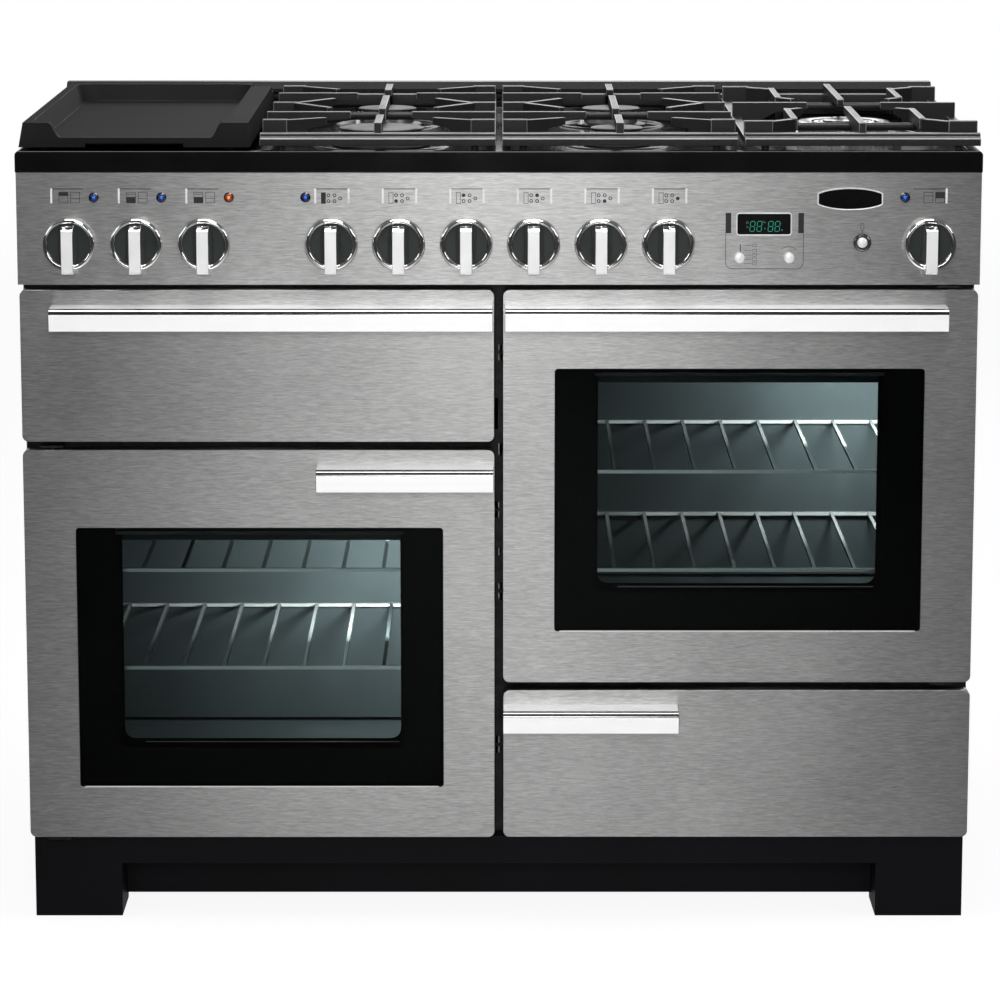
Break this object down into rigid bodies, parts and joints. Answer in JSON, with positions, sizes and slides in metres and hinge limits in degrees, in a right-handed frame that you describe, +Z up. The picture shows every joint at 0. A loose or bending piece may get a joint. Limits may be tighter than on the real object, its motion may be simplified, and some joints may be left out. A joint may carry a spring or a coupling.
{
  "type": "range cooker",
  "caption": "Wide free-standing range cooker with side-hinged ovens, a glide-out grill, a storage drawer, a gas hob with lift-off pan supports, and a griddle.",
  "frame": {"origin": "centre of the footprint of the whole cooker, handles included, on the floor", "axes": "+X to the right seen from the front, -Y towards the person at the cooker, +Z up"},
  "size_m": [1.1, 0.648, 0.936],
  "materials": {
    "zinc_steel": "zinc-plated folded sheet",
    "black_enamel": "black enamel, satin",
    "black_paint": "black paint, satin",
    "black_gloss": "black vitreous enamel, high gloss",
    "hob_glass": "black glass-ceramic, gloss",
    "brushed_steel": "stainless, brushed along the width",
    "lens_glass": "tinted clear lens",
    "brass": "cast brass and plated pipe",
    "dark_plastic": "moulded, matte",
    "burner_alloy": "cast alloy, matte",
    "cap_enamel": "matt black enamel on steel",
    "oven_enamel": "dark grey vitreous enamel",
    "wire_chrome": "bright plated wire and sheet",
    "element_steel": "oxidised sheath",
    "wool": "mineral wool and glass-fibre rope",
    "door_glass": "toughened, dark tinted border",
    "handle_chrome": "polished",
    "griddle_iron": "cast, satin non-stick coat",
    "support_iron": "cast iron, matt enamel",
    "knob_chrome": "polished with a dark dished face"
  },
  "bodies": {
    "carcase": {"chassis": "zinc_steel", "side_panels": "black_enamel", "back_panel": "zinc_steel", "front_frame": "zinc_steel", "plinth": "black_paint", "levelling_feet": "zinc_steel", "hob_tray": "black_gloss", "vent_rail": "black_gloss", "ceramic_zone": "hob_glass", "control_panel": "brushed_steel", "panel_lenses": "lens_glass", "gas_rail": "brass", "switch_bodies": "dark_plastic", "burner_bodies": "burner_alloy", "burner_caps": "cap_enamel", "grill_cavity": "oven_enamel", "left_oven_cavity": "oven_enamel", "right_oven_cavity": "oven_enamel", "oven_furniture": "wire_chrome", "heating_elements": "element_steel", "fan_motors": "zinc_steel", "insulation": "wool", "service_box": "dark_plastic", "hinge_brackets": "zinc_steel", "runner_rails": "zinc_steel"},
    "left_fan": {"left_fan": "zinc_steel"},
    "right_fan": {"right_fan": "zinc_steel"},
    "left_door": {"left_door_skin": "brushed_steel", "left_door_glass": "door_glass", "left_door_liner": "oven_enamel", "left_door_handle": "handle_chrome"},
    "right_door": {"right_door_skin": "brushed_steel", "right_door_glass": "door_glass", "right_door_liner": "oven_enamel", "right_door_handle": "handle_chrome"},
    "grill_drawer": {"grill_front": "brushed_steel", "grill_handle": "handle_chrome", "grill_frame": "zinc_steel", "grill_pan": "oven_enamel"},
    "grill_runners": {"grill_mid_runners": "zinc_steel"},
    "storage_drawer": {"drawer_front": "brushed_steel", "drawer_handle": "handle_chrome", "drawer_box": "zinc_steel"},
    "griddle": {"griddle": "griddle_iron"},
    "pan_support_left": {"pan_support_left": "support_iron"},
    "pan_support_centre": {"pan_support_centre": "support_iron"},
    "pan_support_wok": {"pan_support_wok": "support_iron"},
    "light_button": {"light_button": "knob_chrome"},
    "clock_knob_left": {"clock_knob_left": "knob_chrome"},
    "clock_knob_right": {"clock_knob_right": "knob_chrome"},
    "grill_knob": {"grill_knob": "knob_chrome"},
    "oven_function_knob": {"oven_function_knob": "knob_chrome"},
    "oven_heat_knob": {"oven_heat_knob": "knob_chrome"},
    "ceramic_knob": {"ceramic_knob": "knob_chrome"},
    "gas_knob_1": {"gas_knob_1": "knob_chrome"},
    "gas_knob_2": {"gas_knob_2": "knob_chrome"},
    "gas_knob_3": {"gas_knob_3": "knob_chrome"},
    "gas_knob_4": {"gas_knob_4": "knob_chrome"},
    "gas_knob_5": {"gas_knob_5": "knob_chrome"},
    "right_oven_knob": {"right_oven_knob": "knob_chrome"}
  },
  "joints": [
    {"name": "left_door_hinge", "type": "hinge", "parent": "carcase", "child": "left_door", "pos_m": [-0.514, -0.2775, 0.3315], "axis": [0, 0, -1], "range_deg": [0, 100]},
    {"name": "right_door_hinge", "type": "hinge", "parent": "carcase", "child": "right_door", "pos_m": [0.514, -0.2775, 0.517], "axis": [0, 0, 1], "range_deg": [0, 100]},
    {"name": "grill_slide", "type": "slide", "parent": "carcase", "child": "grill_drawer", "axis": [0, -1, 0], "range_m": [0, 0.33]},
    {"name": "grill_runner_slide", "type": "slide", "parent": "carcase", "child": "grill_runners", "axis": [0, -1, 0], "range_m": [0, 0.165]},
    {"name": "storage_drawer_slide", "type": "slide", "parent": "carcase", "child": "storage_drawer", "axis": [0, -1, 0], "range_m": [0, 0.38]},
    {"name": "left_fan_spin", "type": "hinge", "parent": "carcase", "child": "left_fan", "pos_m": [-0.27625, 0.164, 0.325], "axis": [0, 1, 0], "continuous": true},
    {"name": "right_fan_spin", "type": "hinge", "parent": "carcase", "child": "right_fan", "pos_m": [0.27625, 0.164, 0.5105], "axis": [0, 1, 0], "continuous": true},
    {"name": "griddle_lift", "type": "slide", "parent": "carcase", "child": "griddle", "axis": [0, 0, 1], "range_m": [0, 0.12]},
    {"name": "pan_support_left_lift", "type": "slide", "parent": "carcase", "child": "pan_support_left", "axis": [0, 0, 1], "range_m": [0, 0.12]},
    {"name": "pan_support_centre_lift", "type": "slide", "parent": "carcase", "child": "pan_support_centre", "axis": [0, 0, 1], "range_m": [0, 0.12]},
    {"name": "pan_support_wok_lift", "type": "slide", "parent": "carcase", "child": "pan_support_wok", "axis": [0, 0, 1], "range_m": [0, 0.12]},
    {"name": "light_button_press", "type": "slide", "parent": "carcase", "child": "light_button", "axis": [0, 1, 0], "range_m": [0, 0.0025], "stiffness_N_per_m": 300, "springref_m": -0.001},
    {"name": "clock_knob_left_turn", "type": "hinge", "parent": "carcase", "child": "clock_knob_left", "pos_m": [0.2737, -0.284, 0.7843], "axis": [0, 1, 0], "range_deg": [-160, 160]},
    {"name": "clock_knob_right_turn", "type": "hinge", "parent": "carcase", "child": "clock_knob_right", "pos_m": [0.3303, -0.284, 0.7843], "axis": [0, 1, 0], "range_deg": [-160, 160]},
    {"name": "grill_knob_turn", "type": "hinge", "parent": "carcase", "child": "grill_knob", "pos_m": [-0.4895, -0.284, 0.7995], "axis": [0, 1, 0], "range_deg": [0, 270]},
    {"name": "oven_function_knob_turn", "type": "hinge", "parent": "carcase", "child": "oven_function_knob", "pos_m": [-0.4127, -0.284, 0.7995], "axis": [0, 1, 0], "range_deg": [0, 300]},
    {"name": "oven_heat_knob_turn", "type": "hinge", "parent": "carcase", "child": "oven_heat_knob", "pos_m": [-0.3359, -0.284, 0.7995], "axis": [0, 1, 0], "range_deg": [0, 270]},
    {"name": "ceramic_knob_turn", "type": "hinge", "parent": "carcase", "child": "ceramic_knob", "pos_m": [-0.1908, -0.284, 0.7995], "axis": [0, 1, 0], "range_deg": [0, 280]},
    {"name": "gas_knob_1_turn", "type": "hinge", "parent": "carcase", "child": "gas_knob_1", "pos_m": [-0.114, -0.284, 0.7995], "axis": [0, -1, 0], "range_deg": [0, 210]},
    {"name": "gas_knob_2_turn", "type": "hinge", "parent": "carcase", "child": "gas_knob_2", "pos_m": [-0.0372, -0.284, 0.7995], "axis": [0, -1, 0], "range_deg": [0, 210]},
    {"name": "gas_knob_3_turn", "type": "hinge", "parent": "carcase", "child": "gas_knob_3", "pos_m": [0.0396, -0.284, 0.7995], "axis": [0, -1, 0], "range_deg": [0, 210]},
    {"name": "gas_knob_4_turn", "type": "hinge", "parent": "carcase", "child": "gas_knob_4", "pos_m": [0.1164, -0.284, 0.7995], "axis": [0, -1, 0], "range_deg": [0, 210]},
    {"name": "gas_knob_5_turn", "type": "hinge", "parent": "carcase", "child": "gas_knob_5", "pos_m": [0.1932, -0.284, 0.7995], "axis": [0, -1, 0], "range_deg": [0, 210]},
    {"name": "right_oven_knob_turn", "type": "hinge", "parent": "carcase", "child": "right_oven_knob", "pos_m": [0.491, -0.284, 0.7995], "axis": [0, 1, 0], "range_deg": [0, 270]}
  ],
  "couplings": [
    {"joint": "grill_runner_slide", "follows": "grill_slide", "ratio": 0.5}
  ]
}
